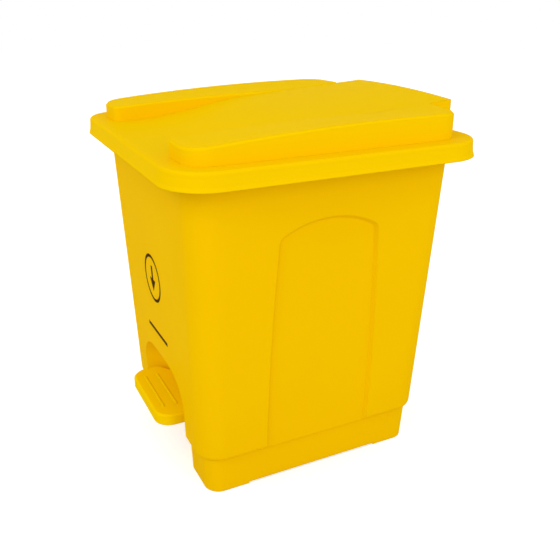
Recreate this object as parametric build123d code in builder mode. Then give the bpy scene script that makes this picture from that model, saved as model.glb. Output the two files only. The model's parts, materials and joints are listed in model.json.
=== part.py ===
"""Moulded pedal bin: tapered container on a plinth, hinged lid, foot pedal and rear push rod.

Millimetres, Z up. The origin is on the floor at the centre of the container, the pedal
faces -Y and the lid hinge is at +Y. Everything stands in its closed, unpressed position.
"""

import os
from math import atan2, cos, degrees, radians, sin, tan

from build123d import *

# Container
ledge_z = 48.0
rim_z = 394.0
base_half_x = 135.2
base_half_y = 147.4
wall_draft_x = 22.6
wall_draft_y = 8.8
container_corner = 30.0
container_wall = 2.6
container_floor = 3.0
bottom_round = 8.0

# Rolled rim of the container
roll_reach_x = 9.2
roll_reach_y = 8.8
roll_depth = 10.0
roll_wall = 2.5
roll_bevel = 1.0

# Arched panels sunk in both side walls
panel_depth = 4.0
panel_half_bottom = 65.0
panel_half_middle = 62.5
panel_half_top = 56.5
panel_middle_z = 200.0
panel_shoulder_z = 312.0
panel_apex_z = 328.0
panel_corner = 7.0
panel_slope = 40.0

# Foot niche in the front, part of an upright cylinder
niche_radius = 92.2
niche_depth = 39.4
niche_top_z = 128.0
niche_round = 40.0

# Plinth
plinth_low_z = 1.0
plinth_ledge_x = 7.0
plinth_ledge_y = 7.3
plinth_draft_x = 2.2
plinth_draft_y = 2.3
plinth_corner = 18.7
plinth_wall = 3.0
deck_thickness = 3.0
foot_flange = 8.0
side_relief_height = 2.0
side_relief_half = 88.0
tunnel_half = 17.0
rib_thickness = 3.0
cross_rib_y = (-62.0, 78.0)
slot_gap = 2.5

# Lid
lid_rise = 6.0
lid_overhang_x = 16.0
lid_overhang_y = 13.4
lid_corner = 47.0
lid_wall = 3.0
skirt_depth = 19.0
skirt_flare = 1.3
rim_band = 6.0
skirt_bead = 1.0
skirt_bead_height = 4.5
skirt_bead_slope = 18.0
rim_round = 3.5
crown_side = 20.0
crown_front = 21.4
crown_back = 24.9
crown_corner = 25.0
rail_inner_x = 100.0
rail_inner_corner = 9.0
rail_bevel = 2.6
rail_outer_apex = (90.0, 27.9)
rail_outer_bow = 2633.0
rail_inner_apex = (60.0, 23.6)
rail_inner_bow = 3795.0
rail_step = 0.4
rail_reach = 8.0
rail_stations = 8
ramp_start = 28.4
ramp_end_y = 10.0
ramp_sink = 0.4
ramp_level = 18.6
ramp_slope = 0.064
ramp_crown = 0.3
ramp_stations = 12
hinge_block_reach = 8.5
hinge_block_crown = 2.5

# Hinge
hinge_reach = 13.0
hinge_drop = 3.0
hinge_pin_radius = 2.5
lug_radius = 5.0
lug_width = 8.0
lug_x = (45.0, 80.0)
lug_web_drop = 8.0
knuckle_thickness = 3.0
knuckle_gap = 1.5
pin_cap_gap = 0.7
pin_cap_thickness = 2.0
rod_notch_height = 8.0

# Lift pin and push rod
lift_arm = 14.6
lift_arm_drop = 37.5
lift_pin_radius = 3.0
lift_rib_inner = 7.0
lift_rib_reach = 5.0
lift_slot_gap = 4.0
rod_radius = 4.0
rod_head_gap = 0.6
rod_foot_gap = 0.7
rod_foot_height = 14.0
rod_head_radius = 6.0
rod_head_height = 8.5
rod_head_bevel = 1.2
rod_foot_bevel = 5.0

# Pedal and lever
axle_radius = 4.0
axle_z = 27.0
pedal_travel = 9.0
lever_half = 12.0
lever_sheet = 2.5
lever_depth = 12.0
lever_bend = 8.0
lever_tail = 5.0
lever_tail_drop = 8.0
riser_gap = 4.0
riser_drop = 2.0
riser_run = 14.0
lever_web_inset = 12.0
hub_radius = 9.5
bush_wall = 2.0
bush_flange = 1.0
bush_flange_radius = 8.5
pedal_half_x = 62.0
pedal_reach = 27.6
pedal_top_z = 79.5
pedal_height = 14.0
pedal_wall = 3.0
pedal_corner = 20.0
pedal_round = 4.0
pedal_bevel = 2.4
pedal_niche_gap = 5.0
tread_back = (13.5, 29.5)
tread_half = 40.0
tread_width = 3.0
tread_height = 1.0
tread_bevel = 0.7
pedal_screw_back = (23.0, 39.0)
pedal_rib_x = 30.0
pedal_boss_height = 3.5
pedal_screw_length = 8.0
stop_radius = 6.0
stop_inset = 18.1

# Screws
screw_radius = 1.8
screw_clearance = 0.3
screw_head_radius = 3.6
screw_head_height = 2.4
screw_boss_radius = 5.0
screw_length = 9.0
floor_screw_inset_x = 40.2
floor_screw_inset_y = 40.1

# Feet and lid buffers
foot_radius = 9.0
foot_thickness = 3.0
foot_inset_x = 22.0
foot_inset_y = 19.8
buffer_radius = 4.5
buffer_x = 70.0
buffer_inset = 5.5

# Axle carrier under the floor
carrier_width = 34.0
carrier_thickness = 10.0
carrier_low_z = 17.0
carrier_gap = 0.6
clamp_thickness = 3.0
clamp_screw_y = 11.5
axle_over = 3.0

# Cover of the push rod behind the container
cover_half = 16.5
cover_wall = 2.5
cover_inset = 1.0
cover_depth = 57.0
cover_low_z = 5.0
cover_drop = 26.0
cover_ear = 12.0
cover_ear_low_z = 90.0
cover_ear_middle_z = 215.0
cover_ear_top = 23.0
cover_ear_height = 16.0
guide_low_z = 70.0
guide_top = 18.0
guide_height = 14.0

# Fits
running_gap = 0.05
stop_gap = 0.35
edge_break = 0.5
cut_over = 1.0

# Derived half sizes and places
rim_half_x = base_half_x + wall_draft_x
rim_half_y = base_half_y + wall_draft_y
roll_half_x = rim_half_x + roll_reach_x
roll_half_y = rim_half_y + roll_reach_y
plinth_top_half_x = base_half_x - plinth_ledge_x
plinth_top_half_y = base_half_y - plinth_ledge_y
plinth_low_half_x = plinth_top_half_x - plinth_draft_x
plinth_low_half_y = plinth_top_half_y - plinth_draft_y
lid_z = rim_z + lid_rise
lid_half_x = roll_half_x + lid_overhang_x
lid_half_y = roll_half_y + lid_overhang_y
crown_half_x = lid_half_x - crown_side
crown_front_y = crown_front - lid_half_y
crown_back_y = lid_half_y - crown_back
ramp_start_y = ramp_start - lid_half_y
hinge_y = roll_half_y + hinge_reach
hinge_z = rim_z - hinge_drop
hinge_block_y = hinge_y + hinge_block_reach
niche_depth_y = niche_depth - base_half_y
pedal_front_y = -base_half_y - pedal_reach
buffer_y = buffer_inset - roll_half_y
stop_y = plinth_top_half_y - stop_inset
cover_back_y = hinge_y - cover_inset
cover_front_y = cover_back_y - cover_depth
cover_top_z = rim_z - cover_drop
cover_ear_z = (cover_ear_low_z, cover_ear_middle_z, cover_top_z - cover_ear_top)
guide_z = (guide_low_z, cover_top_z - guide_top)
wall_slope_x = wall_draft_x / (rim_z - ledge_z)
wall_slope_y = wall_draft_y / (rim_z - ledge_z)
niche_axis_y = niche_depth_y - niche_radius
rod_y = hinge_y - lift_arm * cos(radians(lift_arm_drop))
lift_pin_z = hinge_z - lift_arm * sin(radians(lift_arm_drop))
rod_top_z = lift_pin_z - lift_pin_radius - rod_head_gap
rod_lift = 2 * lift_arm * sin(radians(lift_arm_drop))
lever_rear = rod_lift / sin(radians(pedal_travel))
axle_y = rod_y - lever_rear


def side_half_x(z):
    """Half width of the container's outer wall at a height."""
    return base_half_x + wall_slope_x * (z - ledge_z)


def side_half_y(z):
    """Half depth of the container's outer wall at a height."""
    return base_half_y + wall_slope_y * (z - ledge_z)


def niche_cutter(inset, low_z):
    """Upright round cutter with a domed top, grown by inset."""
    top = niche_top_z + inset
    radius = niche_radius + inset
    dome = niche_round + inset
    with BuildPart() as cutter:
        with BuildSketch(Plane.XZ.offset(-niche_axis_y)):
            with BuildLine():
                Polyline((radius, top - dome), (radius, low_z), (0, low_z), (0, top), (radius - dome, top))
                RadiusArc((radius - dome, top), (radius, top - dome), dome)
            make_face()
        revolve(axis=Axis((0, niche_axis_y, 0), (0, 0, 1)))
    return cutter.part


def panel_cutter(inset):
    """Arched cutter for the sunk panel of the +X wall, its floor moved in by inset."""
    lean = atan2(wall_slope_x, 1)
    mid_x = side_half_x(panel_middle_z)
    floor_plane = Plane(
        origin=(mid_x - (panel_depth + inset) * cos(lean), 0, panel_middle_z),
        x_dir=(0, 1, 0),
        z_dir=(cos(lean), 0, -sin(lean)),
    )
    low = (ledge_z - panel_middle_z - bottom_round) / cos(lean) - inset
    shoulder = (panel_shoulder_z - panel_middle_z) / cos(lean) + inset
    apex = (panel_apex_z - panel_middle_z) / cos(lean) + inset
    half = (panel_half_bottom + inset, panel_half_middle + inset, panel_half_top + inset)
    with BuildPart() as cutter:
        with BuildSketch(floor_plane):
            with BuildLine():
                ThreePointArc((half[0], low), (half[1], 0), (half[2], shoulder))
                ThreePointArc((half[2], shoulder), (0, apex), (-half[2], shoulder))
                ThreePointArc((-half[2], shoulder), (-half[1], 0), (-half[0], low))
                Line((-half[0], low), (half[0], low))
            make_face()
            fillet(vertices().group_by(Axis.Y)[-1], panel_corner + inset)
        extrude(amount=panel_depth + inset + panel_depth, taper=-panel_slope)
    return cutter.part


def tapered_box(low_z, high_z, low_half, high_half, corner):
    """Box with four flat leaning walls, each pair cut to its own slope, and round corners."""
    reach = 2 * max(*low_half, *high_half)
    with BuildPart() as box:
        for i, plane in enumerate((Plane.XZ, Plane.YZ)):
            with BuildSketch(plane):
                with BuildLine():
                    Polyline(
                        (-low_half[i], low_z),
                        (low_half[i], low_z),
                        (high_half[i], high_z),
                        (-high_half[i], high_z),
                        close=True,
                    )
                make_face()
            extrude(amount=reach, both=True, mode=Mode.INTERSECT if i else Mode.ADD)
        fillet(box.edges().filter_by(Axis.X, reverse=True).filter_by(Axis.Y, reverse=True), corner)
    return box.part


def container_form(inset):
    """Tapered box with rounded corners, side panels and foot niche, all moved in by inset."""
    floor_z = ledge_z + (container_floor if inset > 0 else 0)
    bottom = (side_half_x(floor_z) - inset, side_half_y(floor_z) - inset)
    top = (rim_half_x - inset, rim_half_y - inset)
    box = tapered_box(floor_z, rim_z, bottom, top, container_corner - inset)
    panel = panel_cutter(inset)
    niche = niche_cutter(inset, floor_z - cut_over)
    with BuildPart() as form:
        add(box)
        fillet(form.faces().sort_by(Axis.Z)[0].edges(), bottom_round - inset)
        add(panel, mode=Mode.SUBTRACT)
        add(panel.mirror(Plane.YZ), mode=Mode.SUBTRACT)
        add(niche, mode=Mode.SUBTRACT)
    return form.part


def plinth_form(inset):
    """Slightly tapered plinth with the foot niche running down through it."""
    niche = niche_cutter(inset, -cut_over)
    low_z = 0 if inset > 0 else plinth_low_z
    high_z = ledge_z - inset * deck_thickness / plinth_wall
    low_half = (plinth_low_half_x - inset, plinth_low_half_y - inset)
    top_half = (plinth_top_half_x - inset, plinth_top_half_y - inset)
    box = tapered_box(low_z, high_z, low_half, top_half, plinth_corner - inset)
    with BuildPart() as form:
        add(box)
        add(niche, mode=Mode.SUBTRACT)
    return form.part


def ramp_z(y):
    """Height of the lid's middle panel: level with the rim in front, a gentle slope behind."""
    share = min(1, max(0, (y - ramp_start_y) / (ramp_end_y - ramp_start_y)))
    blend = share * share * (3 - 2 * share)
    low = lid_z - ramp_sink
    return low + (lid_z + ramp_level + ramp_slope * y - low) * blend


def rail_z(y, apex, bow):
    """Height of a gently bowed rail edge."""
    return lid_z + apex[1] - (y - apex[0]) ** 2 / (2 * bow)


def rail_inner_z(y):
    """Height of the rail's inner edge, never below the middle panel."""
    return max(rail_z(y, rail_inner_apex, rail_inner_bow), ramp_z(y) + rail_step)


def rail_form(inset):
    """Raised +X side rail of the lid, moved in by inset."""
    low_z = lid_z - lid_wall - cut_over
    front = crown_front_y - 2 * cut_over
    length = crown_back_y + 2 * cut_over - front
    plan_x = (rail_inner_x + inset, crown_half_x - inset)
    plan_y = (crown_front_y + inset, crown_back_y - inset)
    with BuildPart() as top_block:
        for i in range(rail_stations):
            y = front + length * i / (rail_stations - 1)
            outer = rail_z(y, rail_outer_apex, rail_outer_bow) - inset
            inner = rail_inner_z(y) - inset
            tilt = (outer - inner) / (crown_half_x - rail_inner_x)
            with BuildSketch(Plane.XZ.offset(-y)):
                with BuildLine():
                    Polyline(
                        (rail_inner_x - rail_reach, low_z),
                        (crown_half_x + rail_reach, low_z),
                        (crown_half_x + rail_reach, outer + tilt * rail_reach),
                        (rail_inner_x - rail_reach, inner - tilt * rail_reach),
                        close=True,
                    )
                make_face()
        loft()
    with BuildPart() as form:
        with BuildSketch(Plane.XY.offset(low_z)):
            with BuildLine():
                Polyline(
                    (plan_x[0], plan_y[0]),
                    (plan_x[1], plan_y[0]),
                    (plan_x[1], plan_y[1]),
                    (plan_x[0], plan_y[1]),
                    close=True,
                )
            make_face()
            fillet(vertices().group_by(Axis.X)[-1], crown_corner - inset)
            fillet(vertices().group_by(Axis.X)[0].sort_by(Axis.Y)[0], rail_inner_corner - inset)
        extrude(amount=2 * rail_outer_apex[1])
        add(top_block.part, mode=Mode.INTERSECT)
        top_edges = form.faces().sort_by(Axis.Z)[-1].edges()
        chamfer(top_edges.sort_by(Axis.X)[1:], rail_bevel)
    return form.part


def tongue_form(inset):
    """Middle panel of the lid, a ramp that runs back into the hinge block."""
    low_z = lid_z - skirt_depth - (cut_over if inset > 0 else 0)
    half = rail_inner_x + inset + cut_over
    block_half = rail_inner_x - inset
    back_y = hinge_block_y - inset
    with BuildPart() as form:
        for i in range(ramp_stations):
            y = ramp_start_y + (back_y - ramp_start_y) * i / (ramp_stations - 1)
            edge = ramp_z(y) - inset
            crown = ramp_crown + hinge_block_crown * ((y - ramp_start_y) / (back_y - ramp_start_y)) ** 2
            with BuildSketch(Plane.XZ.offset(-y)):
                with BuildLine():
                    Polyline((-half, edge), (-half, low_z), (half, low_z), (half, edge))
                    ThreePointArc((half, edge), (0, edge + crown), (-half, edge))
                make_face()
        loft()
        trim = half - block_half + cut_over
        trim_y = crown_back_y - inset
        trim_depth = hinge_block_y + cut_over - trim_y
        with BuildSketch(Plane.XY.offset(low_z - cut_over)):
            for side in (-1, 1):
                with Locations((side * (block_half + trim / 2), trim_y + trim_depth / 2)):
                    Rectangle(trim, trim_depth)
        extrude(amount=3 * skirt_depth, mode=Mode.SUBTRACT)
    return form.part


def lid_slab(inset):
    """Flat rim of the lid: an upright rounded band over a flared skirt."""
    low_z = lid_z - skirt_depth - (cut_over if inset > 0 else 0)
    band_z = lid_z - rim_band
    flare = degrees(atan2(skirt_flare, skirt_depth - rim_band))
    with BuildPart() as form:
        with BuildSketch(Plane.XY.offset(band_z)):
            RectangleRounded(2 * (lid_half_x - inset), 2 * (lid_half_y - inset), lid_corner - inset)
        extrude(amount=rim_band - inset)
        fillet(form.faces().sort_by(Axis.Z)[-1].edges(), rim_round - min(inset, rim_round - cut_over))
        extrude(form.faces().sort_by(Axis.Z)[0], amount=band_z - low_z, taper=-flare)
    return form.part


def lid_form(inset):
    """Rim, both rails and middle panel of the lid as one solid, moved in by inset."""
    rail = rail_form(inset)
    return lid_slab(inset) + rail + rail.mirror(Plane.YZ) + tongue_form(inset)


lid_outer = lid_form(0)
lid_inner = lid_form(lid_wall)


def cross_tube(radius, half, y, z):
    """Round bar along X, centred on the middle plane."""
    with BuildPart() as bar:
        with BuildSketch(Plane.YZ.offset(-half)):
            with Locations((y, z)):
                Circle(radius)
        extrude(amount=2 * half)
    return bar.part


def disc_group(places, radius, low_z, high_z):
    """Upright discs at several places, kept as separate solids."""
    with BuildPart() as group:
        with BuildSketch(Plane.XY.offset(low_z)):
            with Locations(*places):
                Circle(radius)
        extrude(amount=high_z - low_z)
    return group.part


def screw_group(planes, length):
    """Hexagon head screws, kept as separate solids: each plane lies on the seat, Z along the shank."""
    with BuildPart() as group:
        for seat in planes:
            with BuildSketch(seat.offset(-screw_head_height)):
                RegularPolygon(screw_head_radius, 6)
            extrude(amount=screw_head_height)
            with BuildSketch(seat):
                Circle(screw_radius)
            extrude(amount=length)
    return group.part


def upward(places, z):
    """Seat planes for screws driven straight up."""
    return [Plane(origin=(x, y, z), z_dir=(0, 0, 1)) for x, y in places]


def four_corners(half_x, half_y, inset_x, inset_y):
    """Four places set in from the corners of a rectangle."""
    return [(sx * (half_x - inset_x), sy * (half_y - inset_y)) for sx in (-1, 1) for sy in (-1, 1)]


floor_screws = four_corners(plinth_top_half_x, plinth_top_half_y, floor_screw_inset_x, floor_screw_inset_y)
screw_top_z = ledge_z - deck_thickness + screw_length
container_outer = container_form(0)
container_inner = container_form(container_wall)
lug_places = [side * x for x in lug_x for side in (-1, 1)]

cover_ear_x = cover_half + cover_ear / 2
cover_seats = [
    Plane(origin=(side * cover_ear_x, side_half_y(z) + cover_wall, z), x_dir=(1, 0, 0), z_dir=(0, -1, 0))
    for side in (-1, 1)
    for z in cover_ear_z
]

# Container with its rolled rim and hinge lugs
with BuildPart() as bin_body:
    add(container_outer)
    with BuildSketch(Plane.XY.offset(rim_z - roll_depth)):
        RectangleRounded(2 * roll_half_x, 2 * roll_half_y, container_corner + roll_half_x - rim_half_x)
    extrude(amount=roll_depth)
    chamfer(bin_body.faces().sort_by(Axis.Z)[-1].edges(), roll_bevel)
    with BuildSketch(Plane.XY.offset(rim_z - roll_depth)):
        RectangleRounded(
            2 * (roll_half_x - roll_wall),
            2 * (roll_half_y - roll_wall),
            container_corner + roll_half_x - rim_half_x - roll_wall,
        )
        RectangleRounded(2 * rim_half_x, 2 * rim_half_y, container_corner, mode=Mode.SUBTRACT)
    extrude(amount=roll_depth - roll_wall, mode=Mode.SUBTRACT)
    for x in lug_places:
        with BuildSketch(Plane.YZ.offset(x - lug_width / 2)):
            with BuildLine():
                Polyline(
                    (rim_half_y - container_wall / 2, rim_z - roll_bevel),
                    (rim_half_y - container_wall / 2, hinge_z - lug_radius - lug_web_drop),
                    (roll_half_y, hinge_z - lug_radius),
                    (hinge_y, hinge_z - lug_radius),
                    (hinge_y, hinge_z + lug_radius),
                    (roll_half_y + roll_bevel, rim_z),
                    close=True,
                )
            make_face()
            with Locations((hinge_y, hinge_z)):
                Circle(lug_radius)
        extrude(amount=lug_width)
    with BuildSketch(Plane.XY.offset(rim_z - 4 * roll_depth)):
        with Locations((0, rim_half_y + roll_depth + cut_over)):
            Rectangle(2 * (lift_rib_inner + knuckle_thickness + lift_slot_gap), 2 * roll_depth)
    extrude(amount=5 * roll_depth, mode=Mode.SUBTRACT)
    add(container_inner, mode=Mode.SUBTRACT)
    with BuildSketch(Plane.XY.offset(ledge_z + container_floor)):
        with Locations(*floor_screws):
            Circle(screw_boss_radius)
    extrude(amount=screw_top_z - ledge_z)
    with BuildSketch(Plane.XY.offset(ledge_z)):
        with Locations(*floor_screws):
            Circle(screw_radius)
    extrude(amount=screw_top_z - ledge_z, mode=Mode.SUBTRACT)
    for seat in cover_seats:
        with BuildSketch(seat.offset(cover_wall + container_wall / 2)):
            Circle(screw_boss_radius)
        extrude(amount=screw_length - cover_wall)
        with BuildSketch(seat):
            Circle(screw_radius)
        extrude(amount=screw_length, mode=Mode.SUBTRACT)
    add(cross_tube(hinge_pin_radius, rim_half_x, hinge_y, hinge_z), mode=Mode.SUBTRACT)
bin_body.part.label = "bin_body"

# Lid with its hinge knuckles and lift ribs
knuckle_offset = lug_width / 2 + knuckle_gap + knuckle_thickness / 2
knuckle_places = [x + side * knuckle_offset for x in lug_places for side in (-1, 1)]
lift_rib_places = [side * (lift_rib_inner + knuckle_thickness / 2) for side in (-1, 1)]
lid_bore_half = max(knuckle_places) + knuckle_thickness
lift_pin_half = lift_rib_inner + knuckle_thickness + cut_over
with BuildPart() as lid_ribs:
    for x in knuckle_places:
        with BuildSketch(Plane.YZ.offset(x - knuckle_thickness / 2)):
            with Locations((hinge_y, hinge_z)):
                Circle(lug_radius)
            with Locations((hinge_y, (hinge_z + lid_z + 3 * skirt_depth) / 2)):
                Rectangle(2 * lug_radius, lid_z + 3 * skirt_depth - hinge_z)
        extrude(amount=knuckle_thickness)
    for x in lift_rib_places:
        with BuildSketch(Plane.YZ.offset(x - knuckle_thickness / 2)):
            with BuildLine():
                Polyline(
                    (rod_y - lift_rib_reach, lid_z + 3 * skirt_depth),
                    (rod_y - lift_rib_reach, lift_pin_z),
                    (rod_y, lift_pin_z - lift_rib_reach),
                    (hinge_y, hinge_z - lug_radius),
                    (hinge_y + lug_radius, hinge_z),
                    (hinge_y + lug_radius, lid_z + 3 * skirt_depth),
                    close=True,
                )
            make_face()
        extrude(amount=knuckle_thickness)
rib_fill = lid_ribs.part & lid_outer
with BuildPart() as lid:
    add(lid_outer)
    bead_reach = skirt_flare + skirt_bead
    with BuildSketch(Plane.XY.offset(lid_z - skirt_depth)):
        RectangleRounded(
            2 * (lid_half_x + bead_reach), 2 * (lid_half_y + bead_reach), lid_corner + bead_reach
        )
    extrude(amount=skirt_bead_height + cut_over, taper=skirt_bead_slope)
    add(lid_inner, mode=Mode.SUBTRACT)
    add(rib_fill)
    add(cross_tube(hinge_pin_radius + running_gap, lid_bore_half, hinge_y, hinge_z), mode=Mode.SUBTRACT)
    add(cross_tube(lift_pin_radius, lift_pin_half, rod_y, lift_pin_z), mode=Mode.SUBTRACT)
    with BuildSketch(Plane.XY.offset(lid_z - skirt_depth)):
        with Locations((0, hinge_block_y)):
            Rectangle(2 * lift_rib_inner, 4 * lid_wall)
    extrude(amount=rod_notch_height, mode=Mode.SUBTRACT)
lid.part.label = "lid"

# Hinge pin with a push cap on each end
pin_cap_x = max(lug_x) + knuckle_offset + knuckle_thickness / 2 + pin_cap_gap
pin_half = pin_cap_x + pin_cap_thickness
with BuildPart() as hinge_pin:
    add(cross_tube(hinge_pin_radius, pin_half, hinge_y, hinge_z))
    chamfer(hinge_pin.faces().filter_by(Plane.YZ).edges(), edge_break)
hinge_pin.part.label = "hinge_pin"
with BuildPart() as hinge_pin_caps:
    for side in (-1, 1):
        with BuildSketch(Plane(origin=(side * pin_cap_x, hinge_y, hinge_z), z_dir=(side, 0, 0))):
            Circle(2 * hinge_pin_radius)
            Circle(hinge_pin_radius, mode=Mode.SUBTRACT)
        extrude(amount=pin_cap_thickness)
hinge_pin_caps.part.label = "hinge_pin_caps"

# Pin between the two lift ribs, pushed up by the rod
with BuildPart() as lift_pin:
    add(cross_tube(lift_pin_radius, lift_pin_half, rod_y, lift_pin_z))
lift_pin.part.label = "lift_pin"

# Soft buffers under the lid's flat rim
buffer_places = [(side * buffer_x, buffer_y) for side in (-1, 1)]
with BuildPart() as lid_buffers:
    add(disc_group(buffer_places, buffer_radius, rim_z + stop_gap, lid_z - lid_wall))
lid_buffers.part.label = "lid_buffers"

# Plinth with its deck, ribs, screw holes and axle carriers
deck_low_z = ledge_z - deck_thickness
carrier_x = lever_half + bush_flange + carrier_gap
axle_half = carrier_x + carrier_thickness + axle_over
slot_half = lever_half + slot_gap
carrier_places = [(side * (carrier_x + carrier_thickness / 2), axle_y) for side in (-1, 1)]
clamp_places = [(x, y + dy) for x, y in carrier_places for dy in (-clamp_screw_y, clamp_screw_y)]
foot_places = four_corners(plinth_low_half_x, plinth_low_half_y, foot_inset_x, foot_inset_y)
plinth_outer = plinth_form(0)
plinth_inner = plinth_form(plinth_wall)
with BuildPart() as plinth_ribs:
    with BuildSketch(Plane.XY.offset(plinth_low_z + cut_over)):
        for side in (-1, 1):
            with Locations((side * (tunnel_half + rib_thickness / 2), 0)):
                Rectangle(rib_thickness, 2 * plinth_top_half_y)
            for y in cross_rib_y:
                with Locations((side * (tunnel_half + plinth_top_half_x / 2), y)):
                    Rectangle(plinth_top_half_x, rib_thickness)
    extrude(amount=ledge_z - plinth_low_z - cut_over)
    with BuildSketch(Plane.XY.offset(plinth_low_z)):
        RectangleRounded(2 * plinth_top_half_x, 2 * plinth_top_half_y, plinth_corner)
        RectangleRounded(
            2 * (plinth_low_half_x - foot_flange),
            2 * (plinth_low_half_y - foot_flange),
            plinth_corner - foot_flange,
            mode=Mode.SUBTRACT,
        )
        with Locations(*foot_places):
            Circle(foot_radius + plinth_wall)
    extrude(amount=deck_thickness)
rib_fill = plinth_ribs.part & plinth_outer
with BuildPart() as base_plinth:
    add(plinth_outer)
    add(plinth_inner, mode=Mode.SUBTRACT)
    add(rib_fill)
    with BuildSketch(Plane.XY.offset(plinth_low_z)):
        with Locations((0, axle_y)):
            Rectangle(2 * (axle_half + cut_over), carrier_width + 2 * cut_over)
    extrude(amount=axle_z + axle_radius + cut_over - plinth_low_z, mode=Mode.SUBTRACT)
    with BuildSketch(Plane.XY.offset(carrier_low_z)):
        with Locations(*carrier_places):
            Rectangle(carrier_thickness, carrier_width)
    extrude(amount=ledge_z - carrier_low_z)
    with BuildSketch(Plane.YZ.offset(-carrier_x - carrier_thickness)):
        with Locations((axle_y, axle_z)):
            Circle(axle_radius)
        with Locations((axle_y, (axle_z + carrier_low_z - cut_over) / 2)):
            Rectangle(2 * axle_radius, axle_z - carrier_low_z + cut_over)
    extrude(amount=2 * (carrier_x + carrier_thickness), mode=Mode.SUBTRACT)
    with BuildSketch(Plane.XY.offset(carrier_low_z)):
        with Locations(*clamp_places):
            Circle(screw_radius)
    extrude(amount=screw_length, mode=Mode.SUBTRACT)
    with BuildSketch(Plane.XY.offset(deck_low_z)):
        with Locations(*floor_screws):
            Circle(screw_radius + screw_clearance)
    extrude(amount=deck_thickness, mode=Mode.SUBTRACT)
    with BuildSketch(Plane.XY.offset(plinth_low_z - cut_over)):
        with Locations((0, niche_depth_y)):
            Rectangle(2 * slot_half, 4 * plinth_wall)
        with Locations((0, plinth_top_half_y)):
            Rectangle(2 * slot_half, 4 * foot_flange)
    extrude(amount=deck_low_z - plinth_low_z + cut_over, mode=Mode.SUBTRACT)
    with BuildSketch(Plane.XY.offset(plinth_low_z)):
        with Locations(*foot_places):
            Circle(foot_radius)
    extrude(amount=foot_thickness - plinth_low_z, mode=Mode.SUBTRACT)
    with BuildSketch(Plane.XY.offset(plinth_low_z)):
        Rectangle(2 * plinth_top_half_x, 2 * side_relief_half)
    extrude(amount=side_relief_height, mode=Mode.SUBTRACT)
base_plinth.part.label = "base_plinth"

with BuildPart() as rubber_feet:
    add(disc_group(foot_places, foot_radius, 0, foot_thickness))
    chamfer(rubber_feet.faces().group_by(Axis.Z)[0].edges(), edge_break)
rubber_feet.part.label = "rubber_feet"

with BuildPart() as plinth_screws:
    add(screw_group(upward(floor_screws, deck_low_z), screw_length))
plinth_screws.part.label = "plinth_screws"

# Pedal axle held from below by two clamps
with BuildPart() as pedal_axle:
    add(cross_tube(axle_radius, axle_half, axle_y, axle_z))
pedal_axle.part.label = "pedal_axle"
with BuildPart() as axle_clamps:
    with BuildSketch(Plane.XY.offset(carrier_low_z - clamp_thickness)):
        with Locations(*carrier_places):
            Rectangle(carrier_thickness, carrier_width)
    extrude(amount=clamp_thickness)
    with BuildSketch(Plane.XY.offset(carrier_low_z)):
        with Locations(*carrier_places):
            Rectangle(carrier_thickness, 2 * axle_radius)
    extrude(amount=axle_z - carrier_low_z)
    add(cross_tube(axle_radius, axle_half, axle_y, axle_z), mode=Mode.SUBTRACT)
    with BuildSketch(Plane.XY.offset(carrier_low_z - clamp_thickness)):
        with Locations(*clamp_places):
            Circle(screw_radius)
    extrude(amount=clamp_thickness, mode=Mode.SUBTRACT)
axle_clamps.part.label = "axle_clamps"
with BuildPart() as clamp_screws:
    add(screw_group(upward(clamp_places, carrier_low_z - clamp_thickness), clamp_thickness + screw_length))
clamp_screws.part.label = "clamp_screws"

# Pressed steel lever, a channel open below that carries the pedal
bush_radius = axle_radius + running_gap + bush_wall
lever_top = axle_z + hub_radius
riser_low = (niche_depth_y - riser_gap, deck_low_z - riser_drop)
pad_under_z = pedal_top_z - pedal_wall - pedal_boss_height
riser_high = (riser_low[0] - riser_run, pad_under_z)
lever_points = [
    (rod_y + lever_tail, axle_z - lever_tail_drop),
    (axle_y, lever_top),
    riser_low,
    riser_high,
    (pedal_front_y + lever_web_inset, pad_under_z),
]
pedal_screws_at = [(0, pedal_front_y + back) for back in pedal_screw_back]
with BuildPart() as pedal_lever:
    with BuildSketch(Plane.YZ.offset(-lever_half)):
        with BuildLine():
            lever_path = FilletPolyline(*lever_points, radius=lever_bend)
            offset(lever_path, amount=lever_sheet, side=Side.LEFT)
        make_face()
    extrude(amount=2 * lever_half)
    for x in (-lever_half, lever_half - lever_sheet):
        with BuildSketch(Plane.YZ.offset(x)):
            with BuildLine():
                side_path = FilletPolyline(*lever_points, radius=lever_bend)
                offset(side_path, amount=lever_depth, side=Side.LEFT)
            make_face()
            with Locations((axle_y, axle_z)):
                Circle(hub_radius)
        extrude(amount=lever_sheet)
    add(cross_tube(bush_radius, lever_half, axle_y, axle_z), mode=Mode.SUBTRACT)
    with BuildSketch(Plane.XY.offset(pad_under_z - 2 * lever_sheet)):
        with Locations(*pedal_screws_at):
            Circle(screw_radius)
    extrude(amount=3 * lever_sheet, mode=Mode.SUBTRACT)
pedal_lever.part.label = "pedal_lever"

# Flanged bushes pressed into the lever
with BuildPart() as lever_bushes:
    for side in (-1, 1):
        bush_x = side * (lever_half - 2 * lever_sheet)
        with BuildSketch(Plane(origin=(bush_x, axle_y, axle_z), z_dir=(side, 0, 0))):
            Circle(bush_radius)
            Circle(axle_radius + running_gap, mode=Mode.SUBTRACT)
        extrude(amount=2 * lever_sheet + bush_flange)
        with BuildSketch(Plane(origin=(side * lever_half, axle_y, axle_z), z_dir=(side, 0, 0))):
            Circle(bush_flange_radius)
            Circle(bush_radius - bush_wall / 2, mode=Mode.SUBTRACT)
        extrude(amount=bush_flange)
lever_bushes.part.label = "lever_bushes"

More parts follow.
